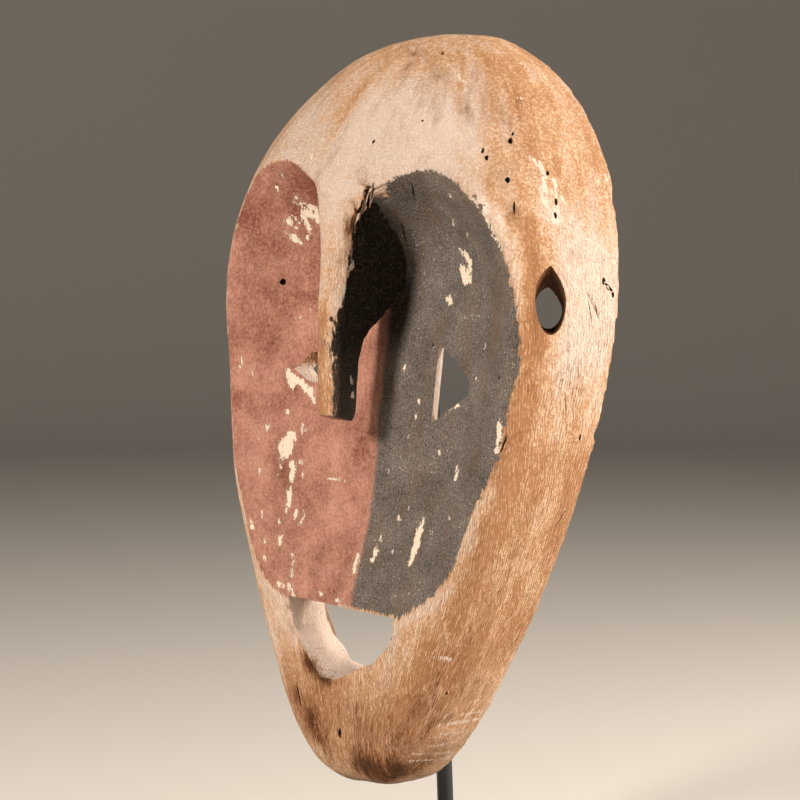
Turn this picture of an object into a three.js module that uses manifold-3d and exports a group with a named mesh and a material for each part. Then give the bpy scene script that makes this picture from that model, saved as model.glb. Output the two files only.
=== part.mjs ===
// Carved face mask on its display stand. Millimetres, +Z up, the mask faces -Y.
// The origin is at the middle of the underside of the stand's foot.
import * as THREE from "three";
import Module from "manifold-3d";
import { mergeVertices } from "three/addons/utils/BufferGeometryUtils.js";

// Driving dimensions of the mask. Heights are above the chin, depths run back from the front.
const maskHeight = 430;
const rimDepthAtChin = 7;
const rimLean = 0.09;
const faceMiddleHeight = 250;
const mouthTopHeight = 105;
const chinThickness = 18;
const crownThickness = 20;
const plateThickness = 7;
const mouthWall = 31;
const sideWall = 12;
const sideWallAtChin = 7;

// How far the painted face reaches from its middle, every 15 degrees from +X through the brow.
const faceReach = [
  111.6, 114.2, 118, 119.5, 115.5, 96, 86, 100, 124.5, 133.5, 124, 116,
  112, 111, 116.5, 124.5, 146, 153, 160, 153, 143, 124.5, 116.5, 110.7,
];

// Nose: a blade that hangs free of the face below its root.
const noseFrontDepth = -61.5;
const noseTipHeight = 214.5;
const noseTipDrop = 3.7;
const noseTopHeight = 349;
const noseHalfWidth = 7;
const noseFlareStart = 255;

// Eyes, mouth and the two cord holes.
const eyeDepth = -14.5;
const leftEye = [
  [41.2, 254], [54.6, 244.5], [60, 240.5], [65.5, 234.5], [67.3, 232.5],
  [65.8, 226], [57.8, 221], [47.4, 215], [39.6, 209.5],
];
const rightEye = [
  [41, 249], [52.7, 246.4], [57.5, 246], [67.5, 236], [56.7, 229.4], [50, 228], [41, 222],
];
const mouthHalfWidth = 41;
const mouthDrop = 36;
const mouthOffset = -4;
const mouthSlope = -0.06;
const mouthFlare = 0.0027;
const cordHoleHeight = 281;
const cordHoleHalfWidth = 7.2;
const cordHoleHalfHeight = 16;
const cordHoleNotch = 4;
const cordHoleDepth = -14;
const cordHoleFlare = 0.25;
const cordHoleAngle = THREE.MathUtils.degToRad(46);

// Stand: a flat foot and a leaning rod that ends under the crown.
const footWidth = 160;
const footDepth = 150;
const footThickness = 12;
const footCornerRadius = 3;
const footEdgeBevel = 1;
const rodRadius = 4.75;
const rodDepthAtChin = 39.1;
const rodLean = -0.055;
const rodTopHeight = 404.3;
const chinAboveFoot = 60;
const maskShift = -5;
const gap = 0.3;

const wasm = await Module();
wasm.setup();

const clamp = (value, low, high) => Math.min(Math.max(value, low), high);
const mix = (a, b, t) => a + (b - a) * t;
const bluntness = (t, power) => (1 - Math.abs(t) ** power) ** (1 / power);
const snap = (value) => (Math.abs(value) < 1e-6 ? 0 : value);

// Sections of the block that the mask is carved from, by height above the chin.
const span = (z) => clamp((2 * z) / maskHeight - 1, -1, 1);
const rimDepth = (z) => rimDepthAtChin + rimLean * z;

function halfWidth(t) {
  return bluntness(t, 2.6) * (124.5 + 46 * t - 30 * t ** 2 - 14 * t ** 3);
}

function bulge(t) {
  return bluntness(t, 4.2) * (85 + 43 * t - 28 * t ** 2 - 60 * t ** 3);
}

// The section is a superellipse: nearly round at the crown, with a flat front at the chin.
const squareness = (t) => 2.5 + 4.7 * Math.max(0.14 - t, 0) ** 1.5;

function blockFront(x, z) {
  const t = span(z);
  const power = squareness(t);
  const across = clamp(Math.abs(x) / halfWidth(t), 0, 1);
  return rimDepth(z) - bulge(t) * (1 - across ** power) ** (1 / power);
}

// The painted face leans back from the mouth and curves in a little above it.
function faceDepth(z) {
  const rise = z - mouthTopHeight;
  return -44.4 + 0.15 * rise + 9.5 * (1 - Math.exp(-rise / 32));
}

// Sphere geometry bent to a section: width, depth and squareness by height, and a flat back.
function ovoid(columns, rows, heightOf, sectionOf, backReach) {
  const geometry = new THREE.SphereGeometry(1, columns, rows);
  const position = geometry.getAttribute("position");
  for (let i = 0; i < position.count; i += 1) {
    const t = clamp(position.getY(i), -1, 1);
    const ring = Math.sqrt(Math.max(1 - t * t, 0));
    const side = ring > 1e-6 ? snap(position.getX(i) / ring) : 0;
    const front = ring > 1e-6 ? snap(position.getZ(i) / ring) : 0;
    const z = heightOf(t);
    const section = sectionOf(t, z);
    const bend = 2 / section.power;
    const x = section.width * Math.sign(side) * Math.abs(side) ** bend;
    const forward = section.depth * Math.abs(front) ** bend;
    const backward = backReach * Math.abs(front) ** bend;
    const y = rimDepth(z) + (front > 0 ? -forward : backward);
    position.setXYZ(i, x, y, z);
  }
  return geometry;
}

function solidOf(geometry) {
  const bare = geometry.clone();
  bare.deleteAttribute("normal");
  bare.deleteAttribute("uv");
  const merged = mergeVertices(bare, 1e-3);
  return new wasm.Manifold(
    new wasm.Mesh({
      numProp: 3,
      vertProperties: merged.getAttribute("position").array,
      triVerts: new Uint32Array(merged.getIndex().array),
    }),
  );
}

function geometryOf(solid) {
  const mesh = solid.getMesh();
  const geometry = new THREE.BufferGeometry();
  const stride = mesh.numProp;
  const count = mesh.vertProperties.length / stride;
  const points = new Float32Array(count * 3);
  for (let i = 0; i < count; i += 1) {
    points.set(mesh.vertProperties.subarray(i * stride, i * stride + 3), i * 3);
  }
  geometry.setAttribute("position", new THREE.BufferAttribute(points, 3));
  geometry.setIndex(new THREE.BufferAttribute(new Uint32Array(mesh.triVerts), 1));
  geometry.computeVertexNormals();
  return geometry;
}

// The block: the outer form of the mask, with a flat back that becomes the rim.
function block() {
  const heightOf = (t) => (maskHeight * (1 + t)) / 2;
  const sectionOf = (t) => ({
    width: halfWidth(t),
    depth: bulge(t),
    power: squareness(t),
  });
  return solidOf(ovoid(60, 36, heightOf, sectionOf, 0));
}

function faceEdge(angle) {
  const count = faceReach.length;
  const place = ((angle / (2 * Math.PI)) * count + count) % count;
  const i = Math.floor(place);
  const at = (k) => faceReach[(i + k + count) % count];
  const t = place - i;
  const bend = 2 * at(-1) - 5 * at(0) + 4 * at(1) - at(2);
  const twist = 3 * at(0) - at(-1) - 3 * at(1) + at(2);
  return at(0) + 0.5 * t * (at(1) - at(-1) + t * (bend + t * twist));
}

// The cut face is flat in its middle and scooped forward to meet the block at its outline.
function recessDepth(share, angle, x, z) {
  const start = mix(0.55, 0.4, Math.max(Math.sin(angle), 0) ** 2);
  const t = clamp((share - start) / (1 - start), 0, 1);
  const besideNose = 5 * Math.exp(-((x / 45) ** 2) - ((z - 300) / 40) ** 2);
  const front = blockFront(x, z);
  return Math.max(mix(faceDepth(z) + besideNose, front, t ** 2.2), front);
}

function recess() {
  const rings = 12;
  const frontPlane = -120;
  const profile = [new THREE.Vector2(0, 0)];
  for (let i = 1; i <= rings; i += 1) {
    profile.push(new THREE.Vector2(1 - (1 - i / rings) ** 1.3, 0));
  }
  for (let i = rings; i >= 1; i -= 1) profile.push(new THREE.Vector2(i / rings, 1));
  profile.push(new THREE.Vector2(0, 1));
  const geometry = new THREE.LatheGeometry(profile, 60);
  const position = geometry.getAttribute("position");
  for (let i = 0; i < position.count; i += 1) {
    const share = Math.hypot(position.getX(i), position.getZ(i));
    const angle = Math.atan2(-snap(position.getZ(i)), snap(position.getX(i)));
    const reach = faceEdge(angle);
    const x = share * reach * Math.cos(angle);
    const z = faceMiddleHeight + share * reach * Math.sin(angle);
    const atFront = position.getY(i) > 0.5;
    const y = atFront ? frontPlane : recessDepth(share, angle, x, z) - (share > 0.999 ? gap : 0);
    position.setXYZ(i, x, y, z);
  }
  return solidOf(geometry);
}

// The hollow behind the face follows the block inside its walls, and keeps the plate's
// thickness behind the cut face. Round the mouth the wood is left thicker.
function hollow() {
  const heightOf = (t) => mix(chinThickness, maskHeight - crownThickness, (1 + t) / 2);
  const sectionOf = (t, z) => {
    const closing = bluntness(t, 7);
    const wall = mix(sideWallAtChin, sideWall, clamp(z / 200, 0, 1));
    return {
      width: closing * (halfWidth(span(z)) - wall),
      depth: closing * (bulge(span(z)) - wall),
      power: squareness(span(z)),
    };
  };
  const geometry = ovoid(44, 30, heightOf, sectionOf, 25);
  const position = geometry.getAttribute("position");
  for (let i = 0; i < position.count; i += 1) {
    const x = position.getX(i);
    const z = position.getZ(i);
    const angle = Math.atan2(z - faceMiddleHeight, x);
    const share = Math.hypot(x, z - faceMiddleHeight) / faceEdge(angle);
    const nearMouth = clamp((mouthTopHeight + 25 - z) / 25, 0, 1);
    const thickness = mix(plateThickness, mouthWall, nearMouth);
    const deepest = recessDepth(0.93 * share, angle, x, z) + thickness;
    if (position.getY(i) < deepest) position.setY(i, Math.min(deepest, rimDepth(z) + 20));
  }
  return solidOf(geometry);
}

// Nose blade: a box bent to the ridge in front and to the free prong's back edge.
const noseRidge = new THREE.SplineCurve([
  new THREE.Vector2(noseTipHeight, noseFrontDepth),
  new THREE.Vector2(258, noseFrontDepth),
  new THREE.Vector2(296, -57),
  new THREE.Vector2(323, -54),
  new THREE.Vector2(noseTopHeight, -44),
]);
const noseBack = [
  [noseTipHeight, -46],
  [245, -43],
  [258, -37],
  [266, -28],
  [276, -14],
  [283, -4],
  [noseTopHeight, 4],
];

function alongBack(z) {
  const next = noseBack.findIndex(([height]) => height >= z);
  if (next <= 0) return noseBack[next < 0 ? noseBack.length - 1 : 0][1];
  const [z0, y0] = noseBack[next - 1];
  const [z1, y1] = noseBack[next];
  return mix(y0, y1, (z - z0) / (z1 - z0));
}

function noseSpread(z) {
  const t = clamp((z - noseFlareStart) / (noseTopHeight - noseFlareStart), 0, 1);
  return noseHalfWidth + 5 * t + 17 * t ** 6;
}

function nose() {
  const levels = 22;
  const geometry = new THREE.BoxGeometry(2, 1, 1, 4, 2, levels);
  const position = geometry.getAttribute("position");
  for (let i = 0; i < position.count; i += 1) {
    const across = position.getX(i);
    const backward = position.getY(i) + 0.5;
    const t = position.getZ(i) + 0.5;
    const point = noseRidge.getPoint(t);
    const drop = noseTipDrop * backward * (1 - t) ** 8;
    const rounding = 3.5 * Math.abs(across) ** 4 * (1 - backward);
    const y = mix(point.y + rounding, alongBack(point.x), backward);
    position.setXYZ(i, across * noseSpread(point.x), y, point.x - drop);
  }
  return solidOf(geometry);
}

// A flat outline in the front view, pushed through the wall along Y.
function pushedThrough(outline, front, back) {
  const geometry = new THREE.ExtrudeGeometry(outline, {
    depth: back - front,
    bevelEnabled: false,
    curveSegments: 14,
  });
  geometry.rotateX(Math.PI / 2);
  geometry.translate(0, back, 0);
  return geometry;
}

function mouth() {
  const top = mouthTopHeight;
  const outline = new THREE.Shape();
  outline.moveTo(mouthHalfWidth, top + mouthSlope * mouthHalfWidth);
  outline.lineTo(-mouthHalfWidth, top - mouthSlope * mouthHalfWidth);
  outline.bezierCurveTo(
    -mouthHalfWidth, top - mouthDrop * 0.62,
    -mouthHalfWidth * 0.5, top - mouthDrop,
    0, top - mouthDrop,
  );
  outline.bezierCurveTo(
    mouthHalfWidth * 0.5, top - mouthDrop,
    mouthHalfWidth, top - mouthDrop * 0.62,
    mouthHalfWidth, top + mouthSlope * mouthHalfWidth,
  );
  const geometry = pushedThrough(outline, -70, 0);
  const position = geometry.getAttribute("position");
  for (let i = 0; i < position.count; i += 1) {
    const wider = 1 + mouthFlare * (position.getY(i) - blockFront(0, top));
    position.setX(i, mouthOffset + position.getX(i) * wider);
    position.setZ(i, top + (position.getZ(i) - top) * wider);
  }
  return solidOf(geometry);
}

// Each eye is a triangle that points outwards. Towards the back, the left one widens at its
// inner edge and the right one narrows at its outer corner.
function eye(corners, side) {
  const outline = new THREE.Shape(corners.map(([x, z]) => new THREE.Vector2(x, z)));
  const geometry = pushedThrough(outline, -26, side > 0 ? 20 : 4);
  const position = geometry.getAttribute("position");
  const xs = corners.map(([x]) => x);
  const inner = Math.min(...xs);
  const outer = Math.max(...xs);
  const slant = side > 0 ? [-0.33, 0] : [0, -1];
  for (let i = 0; i < position.count; i += 1) {
    const x = position.getX(i);
    const depth = position.getY(i) - eyeDepth;
    position.setX(i, x + depth * mix(slant[0], slant[1], (x - inner) / (outer - inner)));
  }
  const solid = solidOf(geometry);
  return side < 0 ? solid.mirror([1, 0, 0]) : solid;
}

// Cord hole through the side wall: an upright oval with a worn notch at its top. It runs
// inwards and back, and widens on the way.
function cordHole(side) {
  const inset = 11;
  const geometry = new THREE.CylinderGeometry(1, 1, 60, 24);
  const position = geometry.getAttribute("position");
  for (let i = 0; i < position.count; i += 1) {
    const up = position.getX(i);
    const notch = up > 0.95 ? cordHoleNotch : 0;
    const outward = position.getY(i);
    const wide = cordHoleHalfWidth + cordHoleFlare * (inset - outward);
    position.setXYZ(i, -position.getZ(i) * wide, outward, up * cordHoleHalfHeight + notch);
  }
  geometry.rotateZ(-Math.PI / 2 - cordHoleAngle);
  const x = halfWidth(span(cordHoleHeight)) - inset;
  geometry.translate(x, cordHoleDepth, cordHoleHeight);
  const solid = solidOf(geometry);
  return side < 0 ? solid.mirror([1, 0, 0]) : solid;
}

function maskSolid() {
  const cavity = hollow();
  const carved = block().subtract(recess()).add(nose());
  const eyes = [eye(leftEye, 1), eye(rightEye, -1)];
  const holes = [cavity, mouth(), ...eyes, cordHole(1), cordHole(-1)];
  const pierced = holes.reduce((solid, hole) => solid.subtract(hole), carved);
  // Slivers thinner than a shaving are left loose along the cut; the mask is the largest body.
  return pierced.decompose().sort((a, b) => b.volume() - a.volume())[0];
}

function foot() {
  const outline = new THREE.Shape();
  const x = footWidth / 2 - footEdgeBevel;
  const y = footDepth / 2 - footEdgeBevel;
  const r = footCornerRadius;
  outline.moveTo(-x + r, -y);
  outline.lineTo(x - r, -y);
  outline.absarc(x - r, -y + r, r, -Math.PI / 2, 0);
  outline.absarc(x - r, y - r, r, 0, Math.PI / 2);
  outline.absarc(-x + r, y - r, r, Math.PI / 2, Math.PI);
  outline.absarc(-x + r, -y + r, r, Math.PI, 1.5 * Math.PI);
  const geometry = new THREE.ExtrudeGeometry(outline, {
    depth: footThickness - 2 * footEdgeBevel,
    bevelThickness: footEdgeBevel,
    bevelSize: footEdgeBevel,
    bevelSegments: 2,
    curveSegments: 4,
  });
  return geometry.translate(0, 0, footEdgeBevel);
}

// Rod with a rounded tip, turned about its own axis from its lower end.
function rod(length) {
  const profile = [new THREE.Vector2(0, 0), new THREE.Vector2(rodRadius, 0)];
  const steps = 5;
  for (let i = 0; i <= steps; i += 1) {
    const angle = (i / steps) * (Math.PI / 2);
    const radius = i === steps ? 0 : rodRadius * Math.cos(angle);
    profile.push(new THREE.Vector2(radius, length - rodRadius * (1 - Math.sin(angle))));
  }
  return new THREE.LatheGeometry(profile, 24).rotateX(Math.PI / 2);
}

const wood = new THREE.MeshStandardMaterial({ color: 0xc9976a, roughness: 0.85 });
const blackSteel = new THREE.MeshStandardMaterial({
  color: 0x1a1b1c,
  roughness: 0.45,
  metalness: 0.3,
});

const part = new THREE.Group();
const chinLevel = footThickness + chinAboveFoot;

const mask = new THREE.Mesh(geometryOf(maskSolid()), wood);
mask.name = "mask";
mask.position.set(0, maskShift, chinLevel);
part.add(mask);

const footPlate = new THREE.Mesh(foot(), blackSteel);
footPlate.name = "stand_foot";
part.add(footPlate);

const rodAngle = Math.atan(rodLean);
const rodRun = chinAboveFoot + rodTopHeight - gap;
const standRod = new THREE.Mesh(rod(rodRun / Math.cos(rodAngle)), blackSteel);
standRod.name = "stand_rod";
const rodClearance = gap + rodRadius * Math.abs(Math.sin(rodAngle));
const rodFootDepth = maskShift + rodDepthAtChin - rodLean * chinAboveFoot;
standRod.position.set(0, rodFootDepth, footThickness + rodClearance);
standRod.rotation.x = -rodAngle;
part.add(standRod);

export default part;
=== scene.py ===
import bmesh
import bpy
import numpy as np
from math import cos, pi, radians, sin
from mathutils import Matrix, Vector, noise


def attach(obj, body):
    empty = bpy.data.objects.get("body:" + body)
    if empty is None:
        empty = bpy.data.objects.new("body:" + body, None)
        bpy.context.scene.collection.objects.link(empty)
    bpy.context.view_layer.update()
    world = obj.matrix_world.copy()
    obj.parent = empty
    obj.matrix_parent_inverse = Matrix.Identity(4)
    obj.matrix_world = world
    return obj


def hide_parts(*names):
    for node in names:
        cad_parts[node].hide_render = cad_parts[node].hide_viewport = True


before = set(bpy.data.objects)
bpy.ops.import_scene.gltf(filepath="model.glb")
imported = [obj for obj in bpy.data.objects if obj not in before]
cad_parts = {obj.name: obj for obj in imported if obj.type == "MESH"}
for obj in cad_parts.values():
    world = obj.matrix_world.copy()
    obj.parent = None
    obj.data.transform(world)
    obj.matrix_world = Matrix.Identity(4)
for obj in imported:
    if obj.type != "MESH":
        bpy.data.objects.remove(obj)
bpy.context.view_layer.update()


# The view: the mask is seen from its own left side, a little from above and from far off,
# so that its level lines hardly converge.
VIEW_AZIMUTH, VIEW_ELEVATION = radians(42), radians(4)
VIEW_DISTANCE = 1.5
VIEW_TARGET = Vector((0, -0.005, 0.292))
PHOTO_WIDTH_PX, FOCAL_LENGTH_PX = 800, 2610


def bearing(azimuth, elevation):
    """Unit vector from the mask towards a place around it; azimuth 0 is in front."""
    return Vector(
        (sin(azimuth) * cos(elevation), -cos(azimuth) * cos(elevation), sin(elevation))
    )


camera_data = bpy.data.cameras.new("camera")
camera_data.sensor_width = 36
camera_data.lens = camera_data.sensor_width * FOCAL_LENGTH_PX / PHOTO_WIDTH_PX
camera = bpy.data.objects.new("camera", camera_data)
camera_side = bearing(VIEW_AZIMUTH, VIEW_ELEVATION)
camera.location = VIEW_TARGET + VIEW_DISTANCE * camera_side
camera.rotation_euler = camera_side.to_track_quat("Z", "Y").to_euler()
bpy.context.collection.objects.link(camera)
bpy.context.scene.camera = camera
bpy.context.scene.view_settings.view_transform = "Standard"


# The surroundings: a pale painted floor that sweeps up far behind, soft light from a lamp in
# front of the face, from one behind its left side and one above that, and a faint glow.
def linear(hex_colour):
    """Linear RGBA of an sRGB hex colour."""
    channels = [int(hex_colour[i : i + 2], 16) / 255 for i in (1, 3, 5)]
    return [c / 12.92 if c < 0.04045 else ((c + 0.055) / 1.055) ** 2.4 for c in channels] + [1]


def add(tree, kind, inputs=None, **settings):
    """Adds a shader node; an input is a value, a socket, or a node whose first output it takes."""
    item = tree.nodes.new("ShaderNode" + kind)
    for name, value in settings.items():
        setattr(item, name, value)
    for key, value in (inputs or {}).items():
        if isinstance(value, bpy.types.Node):
            value = value.outputs[0]
        if isinstance(value, bpy.types.NodeSocket):
            tree.links.new(value, item.inputs[key])
        else:
            item.inputs[key].default_value = value
    return item


def new_material(name):
    """An empty node material and its tree."""
    material = bpy.data.materials.new(name)
    material.use_nodes = True
    material.node_tree.nodes.clear()
    return material, material.node_tree


def mesh_object(name, bm, material, smooth=True):
    """An object at the origin made from a bmesh, which is freed."""
    mesh = bpy.data.meshes.new(name)
    bm.to_mesh(mesh)
    bm.free()
    mesh.materials.append(material)
    if smooth:
        mesh.shade_smooth()
    item = bpy.data.objects.new(name, mesh)
    bpy.context.collection.objects.link(item)
    return item


LAMP_COLOUR, GLOW_COLOUR, GLOW_STRENGTH = "#fff3e6", "#e9e6e1", 0.015
FLOOR_RADIUS, SWEEP_RADIUS, SWEEP_ANGLE = 3.0, 2.0, radians(80)


def area_light(name, azimuth, elevation, distance, size, watts):
    """A square soft lamp that looks at the middle of the mask."""
    data = bpy.data.lights.new(name, "AREA")
    data.energy, data.size = watts, size
    data.color = linear(LAMP_COLOUR)[:3]
    lamp = bpy.data.objects.new(name, data)
    side = bearing(radians(azimuth), radians(elevation))
    lamp.location = VIEW_TARGET + distance * side
    lamp.rotation_euler = side.to_track_quat("Z", "Y").to_euler()
    bpy.context.collection.objects.link(lamp)


floor_paint, tree = new_material("matt_floor_paint")
floor_coat = add(tree, "BsdfPrincipled", {"Base Color": linear("#d5d1cb"), "Roughness": 0.8})
add(tree, "OutputMaterial", {"Surface": floor_coat})
bm = bmesh.new()
rim_point = bm.verts.new((FLOOR_RADIUS, 0, 0))
bmesh.ops.spin(
    bm, geom=[rim_point], cent=(FLOOR_RADIUS, 0, SWEEP_RADIUS), axis=(0, -1, 0),
    angle=SWEEP_ANGLE, steps=16,
)
inner_point = bm.verts.new((0, 0, 0))
bm.edges.new((inner_point, rim_point))
bmesh.ops.spin(
    bm, geom=bm.verts[:] + bm.edges[:], cent=(0, 0, 0), axis=(0, 0, 1), angle=2 * pi,
    steps=96, use_merge=True,
)
bmesh.ops.remove_doubles(bm, verts=bm.verts, dist=1e-5)
bmesh.ops.recalc_face_normals(bm, faces=bm.faces)
if bm.faces[0].normal.z < 0:
    bmesh.ops.reverse_faces(bm, faces=bm.faces)
mesh_object("floor", bm, floor_paint)

area_light("front_lamp", azimuth=-6, elevation=22, distance=2.0, size=0.32, watts=45)
area_light("left_lamp", azimuth=120, elevation=11, distance=1.7, size=0.5, watts=31)
area_light("top_lamp", azimuth=120, elevation=52, distance=1.7, size=0.6, watts=30.5)

world = bpy.data.worlds.new("studio")
bpy.context.scene.world = world
world.use_nodes = True
glow = world.node_tree.nodes["Background"]
glow.inputs["Color"].default_value = linear(GLOW_COLOUR)
glow.inputs["Strength"].default_value = GLOW_STRENGTH


# The mask: one block of pale, coarse-pored wood, cut to a tall oval dome and hollowed from
# behind. The face is cut back in a shallow dish, which leaves a thin nose blade that hangs
# free. Sizes are in millimetres: x to the mask's own left, y backwards, z up from the chin.
MASK_HEIGHT = 430
MASK_PLACE = (0, -5, 72)
RIM_DEPTH_AT_CHIN, RIM_LEAN = 7, 0.09
FACE_MIDDLE, MOUTH_TOP = 250, 105
FACE_REACH = [
    111.6, 114.2, 118, 119.5, 115.5, 96, 86, 100, 124.5, 133.5, 124, 116,
    112, 111, 116.5, 124.5, 146, 153, 160, 153, 143, 124.5, 116.5, 110.7,
]
FACE_DEPTH, FACE_LEAN, LIP_STEP, LIP_STEP_HEIGHT = -44.4, 0.15, 9.5, 32
EYE_HOLLOW, EYE_HOLLOW_Z, EYE_HOLLOW_WIDTH, EYE_HOLLOW_HEIGHT = 5, 300, 45, 40
CHIN_WALL, CROWN_WALL, PLATE, MOUTH_WALL = 18, 20, 7, 31


def span(z):
    """Height as a number from -1 at the chin to 1 at the crown."""
    return np.clip(2 * z / MASK_HEIGHT - 1, -1, 1)


def mix(a, b, t):
    return a + (b - a) * t


def step(value, low, high):
    """Rises smoothly from 0 at low to 1 at high."""
    t = np.clip((value - low) / (high - low), 0, 1)
    return t * t * (3 - 2 * t)


def blunt(t, power):
    """A rounded end: 1 in the middle, 0 where t reaches -1 or 1."""
    return np.maximum(1 - np.abs(t) ** power, 0) ** (1 / power)


def rim(z):
    """Depth of the rim, which leans back towards the crown."""
    return RIM_DEPTH_AT_CHIN + RIM_LEAN * z


def half_width(t):
    return blunt(t, 2.6) * (124.5 + 46 * t - 30 * t**2 - 14 * t**3)


def bulge(t):
    return blunt(t, 4.2) * (85 + 43 * t - 28 * t**2 - 60 * t**3)


def squareness(t):
    """Power of the cross-section's curve, which is squarer towards the chin."""
    return 2.5 + 4.7 * np.maximum(0.14 - t, 0) ** 1.5


def block_front(x, z):
    """Depth of the uncut block's front."""
    t = span(z)
    across = np.clip(np.abs(x) / np.maximum(half_width(t), 1e-6), 0, 1)
    power = squareness(t)
    return rim(z) - bulge(t) * np.maximum(1 - across**power, 0) ** (1 / power)


def face_reach(x, z):
    """How far the cut face reaches from its middle in the direction of a point."""
    place = (np.arctan2(z - FACE_MIDDLE, x) / (2 * pi) * len(FACE_REACH)) % len(FACE_REACH)
    i = np.floor(place).astype(int)
    t = place - i
    a, b, c, d = (np.take(FACE_REACH, i + k, mode="wrap") for k in (-1, 0, 1, 2))
    return b + 0.5 * t * (c - a + t * (2 * a - 5 * b + 4 * c - d + t * (3 * b - a - 3 * c + d)))


def face_depth(x, z, pull=1.0):
    """Depth of the face: flat in its middle, scooped forward to meet the block's front.

    A pull below 1 widens the flat, which keeps the wall behind the scoop thick enough.
    """
    distance = np.hypot(x, z - FACE_MIDDLE)
    share = pull * distance / face_reach(x, z)
    upward = np.maximum((z - FACE_MIDDLE) / np.maximum(distance, 1e-6), 0)
    start = mix(0.55, 0.4, upward**2)
    t = np.clip((share - start) / (1 - start), 0, 1)
    rise = z - MOUTH_TOP
    flat = FACE_DEPTH + FACE_LEAN * rise
    flat += LIP_STEP * (1 - np.exp(-np.maximum(rise, -20) / LIP_STEP_HEIGHT))
    up = (z - EYE_HOLLOW_Z) / EYE_HOLLOW_HEIGHT
    flat += EYE_HOLLOW * np.exp(-((x / EYE_HOLLOW_WIDTH) ** 2) - up**2)
    front = block_front(x, z)
    return np.maximum(mix(flat, front, t**2.2), front)


def carved_front(x, z):
    """Depth of the carved front: the face where it is cut back, else the block's front."""
    in_face = np.hypot(x, z - FACE_MIDDLE) < face_reach(x, z)
    return np.where(in_face, face_depth(x, z), block_front(x, z))


def positions(item):
    """Vertex positions of an object's mesh as rows of x, y, z."""
    flat = np.empty(len(item.data.vertices) * 3)
    item.data.vertices.foreach_get("co", flat)
    return flat.reshape(-1, 3)


def place(item, x, y, z):
    """Moves every vertex of an object's mesh."""
    item.data.vertices.foreach_set("co", np.stack([x, y, z], 1).ravel())
    item.data.update()


def oval_solid(name, columns, rows, height_of, section_of, back):
    """A ball bent to a dome with a flat back: width, depth and squareness by height."""
    bm = bmesh.new()
    bmesh.ops.create_uvsphere(bm, u_segments=columns // 4, v_segments=rows // 4, radius=1)
    bmesh.ops.subdivide_edges(bm, edges=bm.edges, cuts=3, use_grid_fill=True)
    item = mesh_object(name, bm, worn_wood)
    x, y, t = positions(item).T
    t = np.clip(t, -1, 1)
    z = height_of(t)
    width, depth, power = section_of(t, z)
    ring = np.maximum(np.hypot(x, y), 1e-9)
    side, front = x / ring, -y / ring
    spread = (np.abs(side) ** power + np.abs(front) ** power) ** (1 / power)
    spread = np.maximum(spread, 1e-9)
    off_axis = ring > 1e-6
    x = np.where(off_axis, width * side / spread, 0)
    forward = np.where(off_axis, front / spread, 0)
    y = rim(z) + np.where(forward > 0, -depth, -back) * forward
    place(item, x, y, z)
    return item


def apply_modifiers(item):
    graph = bpy.context.evaluated_depsgraph_get()
    shaped = bpy.data.meshes.new_from_object(item.evaluated_get(graph))
    item.modifiers.clear()
    item.data = shaped


def join_or_cut(item, other, operation):
    """Joins or cuts with another solid, which is then thrown away."""
    tool = item.modifiers.new(other.name, "BOOLEAN")
    tool.operation, tool.solver, tool.object = operation, "MANIFOLD", other
    apply_modifiers(item)
    bpy.data.objects.remove(other)


worn_wood, wood_tree = new_material("worn_painted_wood")
cut_wood = bpy.data.materials.new("knife_cut_wood")
pit_wood = bpy.data.materials.new("pit_wood")

mask = oval_solid(
    "carved_mask", columns=480, rows=360, back=0,
    height_of=lambda t: MASK_HEIGHT * (1 + t) / 2,
    section_of=lambda t, z: (half_width(t), bulge(t), squareness(t)),
)
x, y, z = positions(mask).T
y = np.where(y < rim(z) - 0.5, np.maximum(y, carved_front(x, z)), y)
place(mask, x, y, z)

# The nose blade: a tapered blade with a flat ridge, thick at the brow. Below the middle of
# the eyes its back edge is free, so that it hangs in front of the face like a prong. Its
# ridge and its back edge are given as pairs of height and depth.
NOSE_RIDGE = [(214.5, -61.5), (258, -61.5), (277, -60), (296, -57), (323, -54), (336, -50),
              (349, -44)]
NOSE_BACK = [(214.5, -44.5), (245, -41.5), (258, -36), (266, -27), (276, -13), (283, -4),
             (292, 0), (349, 4)]
NOSE_TIP, NOSE_TOP, NOSE_TIP_DROP = 214.5, 349, 3.7
NOSE_HALF_WIDTH, NOSE_LEAN, NOSE_FLARE_FROM = 7, 2.5, 255


def nose_spread(z):
    """Half width of the blade, which widens upwards and flares into the brow."""
    t = np.clip((z - NOSE_FLARE_FROM) / (NOSE_TOP - NOSE_FLARE_FROM), 0, 1)
    return NOSE_HALF_WIDTH + 5 * t + 17 * t**6


bm = bmesh.new()
bmesh.ops.create_cube(bm, size=1)
bmesh.ops.subdivide_edges(bm, edges=bm.edges, cuts=31, use_grid_fill=True)
nose = mesh_object("nose", bm, worn_wood)
across, backward, t = (positions(nose) * [2, 1, 1] + [0, 0.5, 0.5]).T
z = mix(NOSE_TIP, NOSE_TOP, t)
rounding = 3.5 * np.abs(across) ** 4 * (1 - backward)
y = mix(np.interp(z, *zip(*NOSE_RIDGE)) + rounding, np.interp(z, *zip(*NOSE_BACK)), backward)
y -= 2.2 * step(backward, 0.75, 1) * step(t, 0.03, 0)
drop = NOSE_TIP_DROP * backward * (1 - t) ** 8
x = across * nose_spread(z) - np.where(across < 0, NOSE_LEAN * np.abs(across), 0)
place(nose, x, y, z - drop)
join_or_cut(mask, nose, "UNION")


def hollow_section(t, z):
    """The block's own cross-section less the side wall, closed over its two ends."""
    closing = blunt(t, 7)
    wall = mix(7, 12, np.clip(z / 200, 0, 1))
    s = span(z)
    return closing * (half_width(s) - wall), closing * (bulge(s) - wall), squareness(s)


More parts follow.
